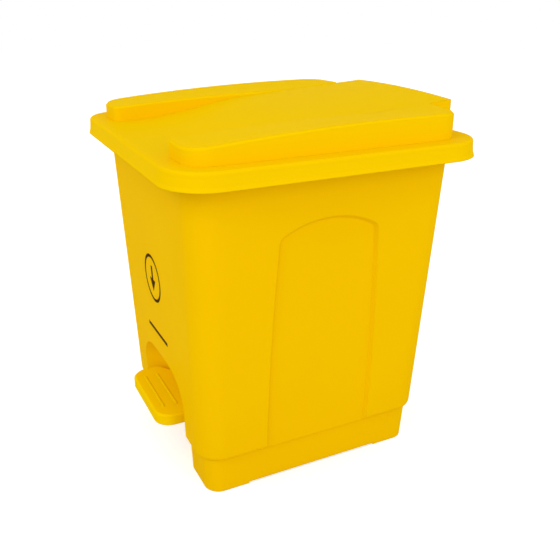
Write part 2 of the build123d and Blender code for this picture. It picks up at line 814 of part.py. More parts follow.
# Moulded foot pedal, its back edge following the niche
with BuildPart() as pedal_pad:
    with BuildSketch(Plane.XY.offset(pedal_top_z - pedal_height)) as pad_plan:
        with Locations((0, (pedal_front_y + niche_depth_y) / 2)):
            Rectangle(2 * pedal_half_x, niche_depth_y - pedal_front_y)
        with Locations((0, niche_axis_y)):
            Circle(niche_radius - pedal_niche_gap, mode=Mode.INTERSECT)
        fillet(vertices().group_by(Axis.Y)[0], pedal_corner)
        fillet(vertices().sort_by(Axis.Y)[-2:], pedal_round)
    extrude(amount=pedal_height)
    chamfer(pedal_pad.faces().sort_by(Axis.Z)[-1].edges(), pedal_bevel)
    with BuildSketch(Plane.XY.offset(pedal_top_z - pedal_height)):
        add(pad_plan.sketch_local)
        offset(amount=-pedal_wall)
    extrude(amount=pedal_height - pedal_wall, mode=Mode.SUBTRACT)
    rib_limit = offset(pad_plan.sketch_local, amount=-pedal_wall / 2, mode=Mode.PRIVATE)
    with BuildSketch(Plane.XY.offset(pad_under_z)):
        for side in (-1, 1):
            with Locations((side * pedal_rib_x, (pedal_front_y + niche_depth_y) / 2)):
                Rectangle(rib_thickness, niche_depth_y - pedal_front_y)
        add(rib_limit, mode=Mode.INTERSECT)
        with Locations(*pedal_screws_at):
            Circle(screw_boss_radius)
    extrude(amount=pedal_boss_height)
    with BuildSketch(Plane.XY.offset(pad_under_z)):
        with Locations(*pedal_screws_at):
            Circle(screw_radius)
    extrude(amount=pedal_screw_length - lever_sheet, mode=Mode.SUBTRACT)
    with BuildSketch(Plane.XY.offset(pedal_top_z)):
        for back in tread_back:
            with Locations((0, pedal_front_y + back)):
                SlotCenterToCenter(2 * tread_half - tread_width, tread_width)
    extrude(amount=tread_height)
    chamfer(pedal_pad.faces().group_by(Axis.Z)[-1].edges(), tread_bevel)
pedal_pad.part.label = "pedal_pad"

with BuildPart() as pedal_screws:
    add(screw_group(upward(pedal_screws_at, pad_under_z - lever_sheet), pedal_screw_length))
pedal_screws.part.label = "pedal_screws"

# Rubber stop above the lever's rear arm
arm_slope = (lever_points[0][1] - lever_top) / (lever_points[0][0] - axle_y)
stop_reach = stop_y - axle_y
stop_low_z = (
    axle_z
    + stop_reach * sin(radians(pedal_travel))
    + (hub_radius + arm_slope * stop_reach) * cos(radians(pedal_travel))
    + stop_gap
    + stop_radius * (tan(radians(pedal_travel)) + arm_slope)
)
with BuildPart() as pedal_stop:
    add(disc_group([(0, stop_y)], stop_radius, stop_low_z, deck_low_z))
pedal_stop.part.label = "pedal_stop"

# Push rod with a head and a foot
rod_foot_z = lever_top + arm_slope * (rod_y - axle_y) + rod_foot_gap
socket = rod_foot_height / 2
rod_low_z = rod_foot_z + rod_foot_height - socket
rod_high_z = rod_top_z - rod_head_height / 3
rod_at = [(0, rod_y)]
with BuildPart() as push_rod:
    add(disc_group(rod_at, rod_radius, rod_low_z, rod_high_z))
push_rod.part.label = "push_rod"
with BuildPart() as rod_head:
    add(disc_group(rod_at, rod_head_radius, rod_top_z - rod_head_height, rod_top_z))
    chamfer(rod_head.faces().sort_by(Axis.Z)[-1].edges(), rod_head_bevel)
    add(disc_group(rod_at, rod_radius, rod_top_z - rod_head_height, rod_high_z), mode=Mode.SUBTRACT)
rod_head.part.label = "rod_head"
with BuildPart() as rod_foot:
    add(disc_group(rod_at, rod_head_radius, rod_foot_z, rod_foot_z + rod_foot_height))
    chamfer(rod_foot.faces().sort_by(Axis.Z)[0].edges(), rod_foot_bevel)
    add(disc_group(rod_at, rod_radius, rod_low_z, rod_foot_z + rod_foot_height), mode=Mode.SUBTRACT)
rod_foot.part.label = "rod_foot"

# Cover of the rod, screwed to the back of the container, and its two guides
cover_inner = cover_half - cover_wall
with BuildPart() as rod_cover:
    with BuildSketch(Plane.XY.offset(cover_low_z)):
        with Locations((0, (cover_back_y + cover_front_y) / 2)):
            Rectangle(2 * cover_half, cover_back_y - cover_front_y)
        fillet(vertices().group_by(Axis.Y)[-1], cover_wall)
    extrude(amount=cover_top_z - cover_low_z)
    fillet(rod_cover.faces().sort_by(Axis.Z)[-1].edges().sort_by(Axis.Y)[-1], cover_wall)
    with BuildSketch(Plane.XY.offset(cover_low_z)):
        with Locations((0, (cover_back_y - cover_wall + cover_front_y) / 2)):
            Rectangle(2 * cover_inner, cover_back_y - cover_wall - cover_front_y)
    extrude(amount=cover_top_z - cover_low_z - cover_wall, mode=Mode.SUBTRACT)
    for seat in cover_seats:
        with BuildSketch(seat):
            Rectangle(cover_ear + cut_over, cover_ear_height)
        extrude(amount=2 * cover_wall)
    add(container_outer, mode=Mode.SUBTRACT)
    add(plinth_outer, mode=Mode.SUBTRACT)
    with BuildSketch(Plane.XY.offset(cover_top_z - 2 * cover_wall)):
        with Locations((0, rod_y)):
            Circle(rod_radius + screw_clearance)
    extrude(amount=3 * cover_wall, mode=Mode.SUBTRACT)
    for seat in cover_seats:
        with BuildSketch(seat):
            Circle(screw_radius)
        extrude(amount=3 * cover_wall, mode=Mode.SUBTRACT)
rod_cover.part.label = "rod_cover"
with BuildPart() as cover_screws:
    add(screw_group(cover_seats, screw_length))
cover_screws.part.label = "cover_screws"

rod_guides = []
for name, z in zip(("lower", "upper"), guide_z):
    with BuildPart() as guide:
        with BuildSketch(Plane.XY.offset(z)):
            with Locations((0, (cover_back_y - cover_wall + cover_front_y) / 2)):
                Rectangle(2 * cover_inner, cover_back_y - cover_wall - cover_front_y)
        extrude(amount=guide_height)
        add(container_outer, mode=Mode.SUBTRACT)
        add(disc_group(rod_at, rod_radius + running_gap, z, z + guide_height), mode=Mode.SUBTRACT)
    guide.part.label = f"rod_guide_{name}"
    rod_guides.append(guide)

pieces = [
    bin_body, base_plinth, rubber_feet, plinth_screws, rod_cover, cover_screws, *rod_guides,
    hinge_pin, hinge_pin_caps, pedal_axle, axle_clamps, clamp_screws, pedal_stop,
    lid, lift_pin, lid_buffers,
    pedal_lever, lever_bushes, pedal_pad, pedal_screws,
    push_rod, rod_head, rod_foot,
]
os.makedirs("parts", exist_ok=True)
for piece in pieces:
    export_step(piece.part, f"parts/{piece.part.label}.step")
    print(piece.part.label, len(piece.part.solids()), round(piece.part.volume))
print("lid pin lift", round(rod_lift, 2), "axle y", round(axle_y, 2), "rod y", round(rod_y, 2))
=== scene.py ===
# %% [markdown]
# A foot-pedal waste bin, moulded in yellow polypropylene: a tapered container on a low plinth, a
# lid with two raised rails, and a pedal in a round niche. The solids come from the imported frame
# and keep their shapes, so that every joint still fits. This file gives them their finishes and
# adds the small things that a solid model leaves plain: the heads and threads of the screws, and
# a printed mark on the front. It ends with the camera, a white studio floor and two soft lamps.

# %% Load the frame
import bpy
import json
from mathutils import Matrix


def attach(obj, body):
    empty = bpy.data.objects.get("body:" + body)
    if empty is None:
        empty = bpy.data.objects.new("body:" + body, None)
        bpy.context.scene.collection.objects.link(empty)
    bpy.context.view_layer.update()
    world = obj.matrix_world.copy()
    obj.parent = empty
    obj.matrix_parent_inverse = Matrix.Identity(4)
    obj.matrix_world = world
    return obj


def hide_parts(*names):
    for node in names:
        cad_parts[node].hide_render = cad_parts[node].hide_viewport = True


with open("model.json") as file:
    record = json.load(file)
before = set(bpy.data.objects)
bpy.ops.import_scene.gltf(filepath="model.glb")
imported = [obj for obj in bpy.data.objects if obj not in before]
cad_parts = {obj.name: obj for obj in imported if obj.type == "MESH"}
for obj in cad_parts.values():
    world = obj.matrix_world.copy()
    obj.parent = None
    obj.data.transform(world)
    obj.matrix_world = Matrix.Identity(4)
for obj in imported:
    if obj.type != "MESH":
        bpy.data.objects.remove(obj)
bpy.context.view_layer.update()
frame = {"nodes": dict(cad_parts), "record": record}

# %% Modules
import json
import math
import bpy
from mathutils import Vector
print("Blender", bpy.app.version_string)

# %% [markdown]
# Blender works in metres and this bin was drawn in millimetres, so a millimetre gets a name.
# Colours are written as they look on a screen, in sRGB hex. Shaders add and multiply light, which
# only works on linear values, so one function turns every hex colour into those.

# %% Units and colour
MM = 0.001


def linear_colour(hex_colour):
    """Linear RGBA of an sRGB hex colour."""
    parts = [int(hex_colour[i:i + 2], 16) / 255 for i in (1, 3, 5)]
    return [c / 12.92 if c <= 0.04045 else ((c + 0.055) / 1.055) ** 2.4 for c in parts] + [1.0]


print("sRGB #808080 is", round(linear_colour("#808080")[0], 3), "in linear light")

# %% [markdown]
# Materials and Geometry Nodes are both trees of nodes. Each could be wired by a long list of
# calls, but then the idea is lost in the wiring. Instead one small function adds any node: its
# type, its settings, and its inputs. An input is a value, or a link given as (node, output name).

# %% Node helpers
# A Mix node has sockets for numbers, vectors and colours. These are the places of its colours.
COLOUR_A, COLOUR_B, COLOUR_MIXED = 6, 7, 2


def add_node(tree, kind, settings=None, inputs=None):
    """Adds a node, sets its properties, and links or sets its inputs by name or index."""
    node = tree.nodes.new(kind)
    for name, value in (settings or {}).items():
        setattr(node, name, value)
    for name, value in (inputs or {}).items():
        if isinstance(value, tuple) and hasattr(value[0], "outputs"):
            tree.links.new(value[0].outputs[value[1]], node.inputs[name])
        else:
            node.inputs[name].default_value = value
    return node


def new_material(name):
    """A new material, its node tree and its Principled shader."""
    material = bpy.data.materials.new(name)
    material.use_nodes = True
    return material, material.node_tree, material.node_tree.nodes["Principled BSDF"]


print("helpers", add_node.__name__, new_material.__name__)

# %% [markdown]
# The container, the plinth, the rod's cover, the lid and the pedal are injection-moulded
# polypropylene, and so are the dark caps of the hinge pin. The steel mould is lightly
# spark-eroded, which leaves a fine grain of about 0.3 mm. At this picture size that would vanish,
# so it is drawn at 1.2 mm. Polypropylene shrinks unevenly as it cools, so a wide wall is never
# quite flat: a slow waviness of some 90 mm moves the light on it. Every edge of a moulding is a
# little round, and the Bevel node rounds the shading where a solid is sharp. The pigment is even,
# with faint clouds where the melt flowed, and handling leaves short dull scuffs.
#
# A flat colour would look like paper, and a picture texture would need a layout for each piece.
# Noise on Object coordinates has a real size in millimetres and fits any shape. The bin in the
# picture shows no highlight, even where its front is seen at a low angle, so its yellow has
# almost no gloss: the eye gets an even, chalky colour. The small inner pieces keep some gloss.

# %% Sizes of the moulded surface
CLOUD_SIZE = 120 * MM
GRAIN_SIZE = 1.2 * MM
GRAIN_HEIGHT, GRAIN_STRENGTH = 0.1 * MM, 0.12
WAVE_LENGTH = 90 * MM
WAVE_HEIGHT, WAVE_STRENGTH = 1.2 * MM, 0.6
EDGE_RADIUS, EDGE_SAMPLES = 1.5 * MM, 4
SCUFF_WIDTH = 5 * MM
# Coordinates that are scaled down along Z make the scuffs longer that way. The turn, in radians,
# keeps them off the upright.
SCUFF_STRETCH = (1.0, 1.0, 0.12)
SCUFF_TURN = (0.3, 0.5, 0.2)
SCUFF_FROM, SCUFF_TO = 0.52, 0.75
SCUFF_ROUGHNESS = 0.22
POLYMER_IOR = 1.49
NO_GLOSS = 0.001
print("grain", round(GRAIN_SIZE / MM, 1), "mm, waves", round(WAVE_LENGTH / MM), "mm")

# %% Moulded plastic
def moulded_plastic(name, colour, deep, rough, gloss, grain=GRAIN_SIZE, scuff=0.5):
    """A moulded plastic with grain, slow waviness, faint clouds and scuffs."""
    material, tree, shader = new_material(name)
    shader.inputs["IOR"].default_value = POLYMER_IOR
    shader.inputs["Specular IOR Level"].default_value = gloss
    place = add_node(tree, "ShaderNodeTexCoord")
    clouds = add_node(tree, "ShaderNodeTexNoise", None, {
        "Vector": (place, "Object"), "Scale": 1 / CLOUD_SIZE, "Detail": 2.0})
    tone = add_node(tree, "ShaderNodeMix", {"data_type": "RGBA"}, {
        "Factor": (clouds, "Fac"), COLOUR_A: linear_colour(colour), COLOUR_B: linear_colour(deep)})
    tree.links.new(tone.outputs[COLOUR_MIXED], shader.inputs["Base Color"])
    stretch = add_node(tree, "ShaderNodeMapping", None, {
        "Vector": (place, "Object"), "Scale": SCUFF_STRETCH, "Rotation": SCUFF_TURN})
    scuffs = add_node(tree, "ShaderNodeTexNoise", None, {
        "Vector": (stretch, "Vector"), "Scale": 1 / SCUFF_WIDTH, "Detail": 3.0, "Roughness": 0.7})
    dull = add_node(tree, "ShaderNodeMapRange", None, {
        "Value": (scuffs, "Fac"), "From Min": SCUFF_FROM, "From Max": SCUFF_TO,
        "To Min": rough, "To Max": rough + SCUFF_ROUGHNESS * scuff})
    tree.links.new(dull.outputs["Result"], shader.inputs["Roughness"])
    grains = add_node(tree, "ShaderNodeTexNoise", None, {
        "Vector": (place, "Object"), "Scale": 1 / grain, "Detail": 1.0})
    waves = add_node(tree, "ShaderNodeTexNoise", None, {
        "Vector": (place, "Object"), "Scale": 1 / WAVE_LENGTH, "Detail": 0.0})
    edge = add_node(tree, "ShaderNodeBevel", {"samples": EDGE_SAMPLES}, {"Radius": EDGE_RADIUS})
    fine = add_node(tree, "ShaderNodeBump", None, {
        "Height": (grains, "Fac"), "Strength": GRAIN_STRENGTH, "Distance": GRAIN_HEIGHT,
        "Normal": (edge, "Normal")})
    broad = add_node(tree, "ShaderNodeBump", None, {
        "Height": (waves, "Fac"), "Strength": WAVE_STRENGTH, "Distance": WAVE_HEIGHT,
        "Normal": (fine, "Normal")})
    tree.links.new(broad.outputs["Normal"], shader.inputs["Normal"])
    return material


container_yellow = moulded_plastic(
    "polypropylene moulded yellow", "#FAC701", "#F6C201", rough=0.42, gloss=NO_GLOSS)
print(container_yellow.name, "nodes", len(container_yellow.node_tree.nodes))

# %% [markdown]
# The lid and the pedal come from moulds of their own, and their yellows are painted light. The
# lid's is a little greener and lighter, painted for the brighter light that falls on it, and the
# pedal's is brighter, painted to lift the shade of its niche. The pedal is also more scuffed by
# shoes. The guides, the bushes, the clamps and the ends of the rod are acetal, a hard plastic that
# slides well on steel. It is left natural, milky white, and it is smoother, so its grain is drawn
# finer. All of them share the function above, because only the numbers differ.

# %% The other plastics
# The lid's yellow is painted lighter and greener: painted light for the brighter light on the lid.
lid_yellow_painted_light = moulded_plastic(
    "polypropylene moulded lid yellow with painted light", "#F9CC01", "#F6C801", rough=0.42, gloss=NO_GLOSS)
# The pedal's yellow is painted brighter: painted light that lifts the shade of its niche.
pedal_yellow_painted_light = moulded_plastic(
    "polypropylene moulded pedal yellow with painted light", "#FDD401", "#F8CD01", rough=0.46, gloss=NO_GLOSS, scuff=1.0)
dark_plastic = moulded_plastic(
    "polypropylene moulded dark grey", "#2B2C2E", "#242527", rough=0.45, gloss=0.4)
acetal = moulded_plastic(
    "acetal moulded natural", "#EAE8DF", "#E2DFD4", rough=0.32, gloss=0.45, grain=0.9 * MM, scuff=0.3)
for plastic in (lid_yellow_painted_light, pedal_yellow_painted_light, dark_plastic, acetal):
    print(plastic.name, "nodes", len(plastic.node_tree.nodes))

# %% [markdown]
# The rod, the pins, the axle, the lever and the screws are steel with a zinc plating. Barrel
# plating leaves a bright but slightly milky metal, so noise mixes a clear and a milky tone, and
# makes the milky patches rougher. Drawn rods also keep fine lines along their length, which come
# from noise that is stretched along Z. Real ones are about 0.1 mm apart and wouldn't show, so
# they are drawn at 0.6 mm. An anisotropic shader could stand for them, but it needs a tangent
# for each piece, while a bump works on all of them. A metal keeps the default IOR, because its
# colour already says how it reflects.

# %% Zinc-plated steel
PATCH_SIZE = 9 * MM
MILKY_ROUGHNESS = 0.18
LINE_WIDTH = 0.6 * MM
LINE_STRETCH = (1.0, 1.0, 0.02)
LINE_HEIGHT, LINE_STRENGTH = 0.05 * MM, 0.15


def plated_steel(name, clear, milky, rough):
    """Plated metal with fine drawing lines and milky patches."""
    material, tree, shader = new_material(name)
    shader.inputs["Metallic"].default_value = 1.0
    place = add_node(tree, "ShaderNodeTexCoord")
    patches = add_node(tree, "ShaderNodeTexNoise", None, {
        "Vector": (place, "Object"), "Scale": 1 / PATCH_SIZE, "Detail": 4.0})
    tone = add_node(tree, "ShaderNodeMix", {"data_type": "RGBA"}, {
        "Factor": (patches, "Fac"), COLOUR_A: linear_colour(clear), COLOUR_B: linear_colour(milky)})
    tree.links.new(tone.outputs[COLOUR_MIXED], shader.inputs["Base Color"])
    spread = add_node(tree, "ShaderNodeMapRange", None, {
        "Value": (patches, "Fac"), "To Min": rough, "To Max": rough + MILKY_ROUGHNESS})
    tree.links.new(spread.outputs["Result"], shader.inputs["Roughness"])
    along = add_node(tree, "ShaderNodeMapping", None, {
        "Vector": (place, "Object"), "Scale": LINE_STRETCH})
    lines = add_node(tree, "ShaderNodeTexNoise", None, {
        "Vector": (along, "Vector"), "Scale": 1 / LINE_WIDTH, "Detail": 1.0})
    bump = add_node(tree, "ShaderNodeBump", None, {
        "Height": (lines, "Fac"), "Strength": LINE_STRENGTH, "Distance": LINE_HEIGHT})
    tree.links.new(bump.outputs["Normal"], shader.inputs["Normal"])
    return material


zinc_steel = plated_steel("steel zinc plated", "#C9CBCC", "#AEB2B5", rough=0.24)
print(zinc_steel.name, "nodes", len(zinc_steel.node_tree.nodes))

# %% [markdown]
# The feet, the lid's buffers and the pedal's stop are moulded rubber: nearly black and dull, with
# a grey bloom that creeps to the surface and a skin of fine pits. One dark colour would do from
# afar. Here the bloom is a slow noise between two greys, and the pits are a Voronoi pattern,
# whose distance from the nearest centre makes a round hollow without any modelling. The pits are
# drawn at 0.8 mm, some four times as coarse as real ones, so that they show.

# %% Rubber
BLOOM_SIZE = 7 * MM
PIT_SIZE = 0.8 * MM
PIT_DEPTH, PIT_STRENGTH = 0.08 * MM, 0.2
RUBBER_IOR = 1.52
RUBBER_ROUGHNESS = 0.72


def moulded_rubber(name, colour, bloom):
    """Dull rubber with a grey bloom and fine pits."""
    material, tree, shader = new_material(name)
    shader.inputs["IOR"].default_value = RUBBER_IOR
    shader.inputs["Roughness"].default_value = RUBBER_ROUGHNESS
    place = add_node(tree, "ShaderNodeTexCoord")
    haze = add_node(tree, "ShaderNodeTexNoise", None, {
        "Vector": (place, "Object"), "Scale": 1 / BLOOM_SIZE, "Detail": 3.0})
    tone = add_node(tree, "ShaderNodeMix", {"data_type": "RGBA"}, {
        "Factor": (haze, "Fac"), COLOUR_A: linear_colour(colour), COLOUR_B: linear_colour(bloom)})
    tree.links.new(tone.outputs[COLOUR_MIXED], shader.inputs["Base Color"])
    pits = add_node(tree, "ShaderNodeTexVoronoi", None, {
        "Vector": (place, "Object"), "Scale": 1 / PIT_SIZE})
    bump = add_node(tree, "ShaderNodeBump", None, {
        "Height": (pits, "Distance"), "Strength": PIT_STRENGTH, "Distance": PIT_DEPTH})
    tree.links.new(bump.outputs["Normal"], shader.inputs["Normal"])
    return material


black_rubber = moulded_rubber("rubber moulded black", "#1B1B1C", "#2A2A2B")
print(black_rubber.name, "nodes", len(black_rubber.node_tree.nodes))

# %% [markdown]
# Each solid of the frame names its finish in the record, such as yellow_plastic or zinc_steel.
# The finishes could be given out one by one, but a table from slot to finish can't forget a
# piece. The one exception is the lid, which shares the container's slot but has its own yellow,
# painted lighter and greener as painted light.

# %% Finishes of the solids
finish_of_slot = {
    "yellow_plastic": container_yellow,
    # The pedal's yellow is painted brighter, to lift the shade of its niche.
    "pedal_plastic": pedal_yellow_painted_light,
    "dark_plastic": dark_plastic,
    "acetal": acetal,
    "zinc_steel": zinc_steel,
    "rubber": black_rubber,
}
slot_of_node = {row["node"]: row["material_slot"] for row in frame["record"]["subparts"]}
for node_name, node_object in frame["nodes"].items():
    # The lid gets its own yellow, painted lighter and greener than the container's as painted light.
    finish = lid_yellow_painted_light if node_name == "lid" else finish_of_slot[slot_of_node[node_name]]
    node_object.data.materials.clear()
    node_object.data.materials.append(finish)
print("finished solids", len(slot_of_node))

# %% [markdown]
# The bin is held together by thread-forming screws with a pan head and a cross recess: four under
# the container, four at the axle, six in the rod's cover and two under the pedal. Sixteen copies
# of one hand-made mesh would do, but each length would need its own. Geometry Nodes suit what
# repeats: one tree makes every screw, and its named inputs are the sizes below.

# %% Geometry Nodes: a new tree and the sizes of a screw
SCREW_SIZES = {
    "Head radius": 3.6 * MM,
    "Head height": 2.4 * MM,
    "Shank radius": 1.8 * MM,
    "Length": 9 * MM,
    "Pitch": 1.2 * MM,
    "Thread depth": 0.35 * MM,
}


def new_tree(name, sizes):
    """A Geometry Nodes tree with a geometry in and out, and a named float input for each size."""
    tree = bpy.data.node_groups.new(name, "GeometryNodeTree")
    sockets = tree.interface
    sockets.new_socket(name="Geometry", in_out="INPUT", socket_type="NodeSocketGeometry")
    for label, value in sizes.items():
        size = sockets.new_socket(name=label, in_out="INPUT", socket_type="NodeSocketFloat")
        size.default_value = value
    sockets.new_socket(name="Geometry", in_out="OUTPUT", socket_type="NodeSocketGeometry")
    return tree, tree.nodes.new("NodeGroupInput"), tree.nodes.new("NodeGroupOutput")


print("screw sizes in mm", {label: round(value / MM, 2) for label, value in SCREW_SIZES.items()})

# %% [markdown]
# A pan head is pressed from the wire's end: a low dome with a flat seat, and a cross pressed into
# its top. A profile could be turned for the dome, but a cross then needs a cut anyway, so the
# whole head is made by cutting solids. A squashed ball is trimmed by a drum, whose end is the
# seat, and two crossed bars are taken away. The drum reaches past the top of the dome, and one
# bar is a little deeper than the other, because a Boolean leaves slivers where faces coincide.
# Each of these sizes is a share of a named input, so the table below lists them once.

# %% Geometry Nodes: the head
HEAD_SIDES, HEAD_RINGS = 28, 14
SHARES = {
    "drum radius": ("Head radius", 0.985),
    "drum depth": ("Head height", 1.2),
    "drum middle": ("Head height", -0.6),
    "bar length": ("Head radius", 1.15),
    "bar width": ("Head radius", 0.24),
    "first bar depth": ("Head height", 1.0),
    "second bar depth": ("Head height", 1.04),
    "bar middle": ("Head height", -1.05),
    "shank middle": ("Length", 0.5),
}
CROSS_BARS = (
    ("bar length", "bar width", "first bar depth"),
    ("bar width", "bar length", "second bar depth"),
)


def screw_head(tree, given, sizes):
    """A domed head on the minus Z side of a flat seat at zero, with a cross in its top."""
    ball = add_node(tree, "GeometryNodeMeshUVSphere", None, {
        "Segments": HEAD_SIDES, "Rings": HEAD_RINGS, "Radius": 1.0})
    squash = add_node(tree, "ShaderNodeCombineXYZ", None, {
        "X": (given, "Head radius"), "Y": (given, "Head radius"), "Z": (given, "Head height")})
    dome = add_node(tree, "GeometryNodeTransform", None, {
        "Geometry": (ball, "Mesh"), "Scale": (squash, "Vector")})
    drum = add_node(tree, "GeometryNodeMeshCylinder", None, {
        "Vertices": HEAD_SIDES, "Radius": (sizes["drum radius"], "Value"),
        "Depth": (sizes["drum depth"], "Value")})
    drum_place = add_node(tree, "ShaderNodeCombineXYZ", None, {"Z": (sizes["drum middle"], "Value")})
    low_drum = add_node(tree, "GeometryNodeTransform", None, {
        "Geometry": (drum, "Mesh"), "Translation": (drum_place, "Vector")})
    trimmed = add_node(tree, "GeometryNodeMeshBoolean", {"operation": "INTERSECT"})
    for solid in (dome, low_drum):
        tree.links.new(solid.outputs["Geometry"], trimmed.inputs["Mesh 2"])
    crossed = add_node(tree, "GeometryNodeMeshBoolean", {"operation": "DIFFERENCE"})
    tree.links.new(trimmed.outputs["Mesh"], crossed.inputs["Mesh 1"])
    bar_place = add_node(tree, "ShaderNodeCombineXYZ", None, {"Z": (sizes["bar middle"], "Value")})
    for labels in CROSS_BARS:
        block = add_node(tree, "ShaderNodeCombineXYZ", None, {
            axis: (sizes[label], "Value") for axis, label in zip("XYZ", labels)})
        bar = add_node(tree, "GeometryNodeMeshCube", None, {"Size": (block, "Vector")})
        low_bar = add_node(tree, "GeometryNodeTransform", None, {
            "Geometry": (bar, "Mesh"), "Translation": (bar_place, "Vector")})
        tree.links.new(low_bar.outputs["Geometry"], crossed.inputs["Mesh 2"])
    return crossed


print("derived sizes", len(SHARES), "cross bars", len(CROSS_BARS))

# %% [markdown]
# The thread is rolled into the shank as one long groove that winds round it. A profile could be
# swept along a helix and joined to a rod, but a fine cylinder whose points move is simpler and
# stays one closed mesh. The angle of a point, plus a full turn for each pitch of its height, is a
# phase, and the cosine of the phase says how deep the groove is there. Each point then moves
# towards the axis by that depth.

# %% Geometry Nodes: the threaded shank
SHANK_SIDES, SHANK_SEGMENTS = 16, 56


def threaded_shank(tree, given, sizes):
    """A shank on the plus Z side of the head's seat, with a helical thread."""
    rod = add_node(tree, "GeometryNodeMeshCylinder", None, {
        "Vertices": SHANK_SIDES, "Side Segments": SHANK_SEGMENTS,
        "Radius": (given, "Shank radius"), "Depth": (given, "Length")})
    where = add_node(tree, "GeometryNodeInputPosition")
    split = add_node(tree, "ShaderNodeSeparateXYZ", None, {"Vector": (where, "Position")})
    angle = add_node(tree, "ShaderNodeMath", {"operation": "ARCTAN2"}, {
        0: (split, "Y"), 1: (split, "X")})
    turns = add_node(tree, "ShaderNodeMath", {"operation": "DIVIDE"}, {
        0: (split, "Z"), 1: (given, "Pitch")})
    phase = add_node(tree, "ShaderNodeMath", {"operation": "MULTIPLY_ADD"}, {
        0: (turns, "Value"), 1: math.tau, 2: (angle, "Value")})
    swing = add_node(tree, "ShaderNodeMath", {"operation": "COSINE"}, {0: (phase, "Value")})
    # Half the cosine less a half runs from 0 on the crest to -1 in the groove.
    groove = add_node(tree, "ShaderNodeMath", {"operation": "MULTIPLY_ADD"}, {
        0: (swing, "Value"), 1: 0.5, 2: -0.5})
    depth = add_node(tree, "ShaderNodeMath", {"operation": "MULTIPLY"}, {
        0: (groove, "Value"), 1: (given, "Thread depth")})
    share = add_node(tree, "ShaderNodeMath", {"operation": "DIVIDE"}, {
        0: (depth, "Value"), 1: (given, "Shank radius")})
    flat = add_node(tree, "ShaderNodeVectorMath", {"operation": "MULTIPLY"}, {
        0: (where, "Position"), 1: (1.0, 1.0, 0.0)})
    inward = add_node(tree, "ShaderNodeVectorMath", {"operation": "SCALE"}, {
        0: (flat, "Vector"), "Scale": (share, "Value")})
    thread = add_node(tree, "GeometryNodeSetPosition", None, {
        "Geometry": (rod, "Mesh"), "Offset": (inward, "Vector")})
    shank_place = add_node(tree, "ShaderNodeCombineXYZ", None, {"Z": (sizes["shank middle"], "Value")})
    return add_node(tree, "GeometryNodeTransform", None, {
        "Geometry": (thread, "Geometry"), "Translation": (shank_place, "Vector")})


print("points round a shank", SHANK_SIDES, "and along it", SHANK_SEGMENTS + 1)

# %% [markdown]
# The last part of the tree joins head and shank, puts a copy on each given point and turns it
# along the direction that the point stores. Copies could be left as instances, which are lighter,
# but the export drops those, so the tree ends in Realize Instances and Set Material.

# %% Geometry Nodes: screws on points
def screw_tree(material):
    """Tree that puts a pan-head screw on each point, along the direction that the point stores."""
    tree, given, result = new_tree("pan head screws", SCREW_SIZES)
    sizes = {
        label: add_node(tree, "ShaderNodeMath", {"operation": "MULTIPLY"}, {0: (given, whole), 1: share})
        for label, (whole, share) in SHARES.items()
    }
    screw = add_node(tree, "GeometryNodeJoinGeometry")
    tree.links.new(screw_head(tree, given, sizes).outputs["Mesh"], screw.inputs["Geometry"])
    tree.links.new(threaded_shank(tree, given, sizes).outputs["Geometry"], screw.inputs["Geometry"])
    along = add_node(tree, "GeometryNodeInputNamedAttribute", {"data_type": "FLOAT_VECTOR"}, {
        "Name": "along"})
    facing = add_node(tree, "FunctionNodeAlignRotationToVector", {"axis": "Z"}, {
        "Vector": (along, "Attribute")})
    copies = add_node(tree, "GeometryNodeInstanceOnPoints", None, {
        "Points": (given, "Geometry"), "Instance": (screw, "Geometry"),
        "Rotation": (facing, "Rotation")})
    real = add_node(tree, "GeometryNodeRealizeInstances", None, {"Geometry": (copies, "Instances")})
    done = add_node(tree, "GeometryNodeSetMaterial", None, {
        "Geometry": (real, "Geometry"), "Material": material})
    tree.links.new(done.outputs["Geometry"], result.inputs["Geometry"])
    return tree


screws = screw_tree(zinc_steel)
print("screw tree nodes", len(screws.nodes))

# %% [markdown]
# A tree works on an object that has it as a modifier, here a small mesh of points. A size is set
# by its socket's identifier, before the first evaluation, because the modifier doesn't know the
# names. The evaluated result could stay live, but a plain mesh is what the frame can carry, so
# it is copied out, and the points and their modifier are removed.

# %% Geometry Nodes: run a tree
def made_by(tree, name, points, direction, sizes):
    """Runs a tree on points that share a direction and returns the result as a plain mesh object."""
    seed_mesh = bpy.data.meshes.new(name + "_points")
    seed_mesh.from_pydata([tuple(point) for point in points], [], [])
    stored = seed_mesh.attributes.new("along", "FLOAT_VECTOR", "POINT")
    for item in stored.data:
        item.vector = direction
    seed = bpy.data.objects.new(name + "_points", seed_mesh)
    bpy.context.scene.collection.objects.link(seed)
    modifier = seed.modifiers.new("make", "NODES")
    modifier.node_group = tree
    for socket in tree.interface.items_tree:
        if socket.in_out == "INPUT" and socket.name in sizes:
            modifier[socket.identifier] = sizes[socket.name]
    graph = bpy.context.evaluated_depsgraph_get()
    plain = bpy.data.meshes.new_from_object(seed.evaluated_get(graph))
    seed.modifiers.remove(modifier)
    bpy.data.objects.remove(seed)
    plain.name = name
    made = bpy.data.objects.new(name, plain)
    bpy.context.scene.collection.objects.link(made)
    return made


print("helper", made_by.__name__)

# %% [markdown]
# Where the screws sit could be typed in again, but then they would float if the solids changed.
# It is read from the frame instead. Each node of screws is a set of loose solids, so its points
# fall into clusters when seen along the screws, and the box of a cluster gives one screw's axis,
# its seat and its length. Meshes hold numbers in single precision, so the length is rounded.

# %% Places of the screws
CLUSTER_GAP = 6 * MM


def clusters(node_name, across):
    """Boxes of a node's loose solids: points belong together when they are close across the screws."""
    boxes = []
    for vertex in frame["nodes"][node_name].data.vertices:
        point = vertex.co
        for low, high in boxes:
            if all(low[i] - CLUSTER_GAP <= point[i] <= high[i] + CLUSTER_GAP for i in across):
                for i in range(3):
                    low[i] = min(low[i], point[i])
                    high[i] = max(high[i], point[i])
                break
        else:
            boxes.append((point.copy(), point.copy()))
    return boxes


print("screws under the container", len(clusters("plinth_screws", (0, 1))))

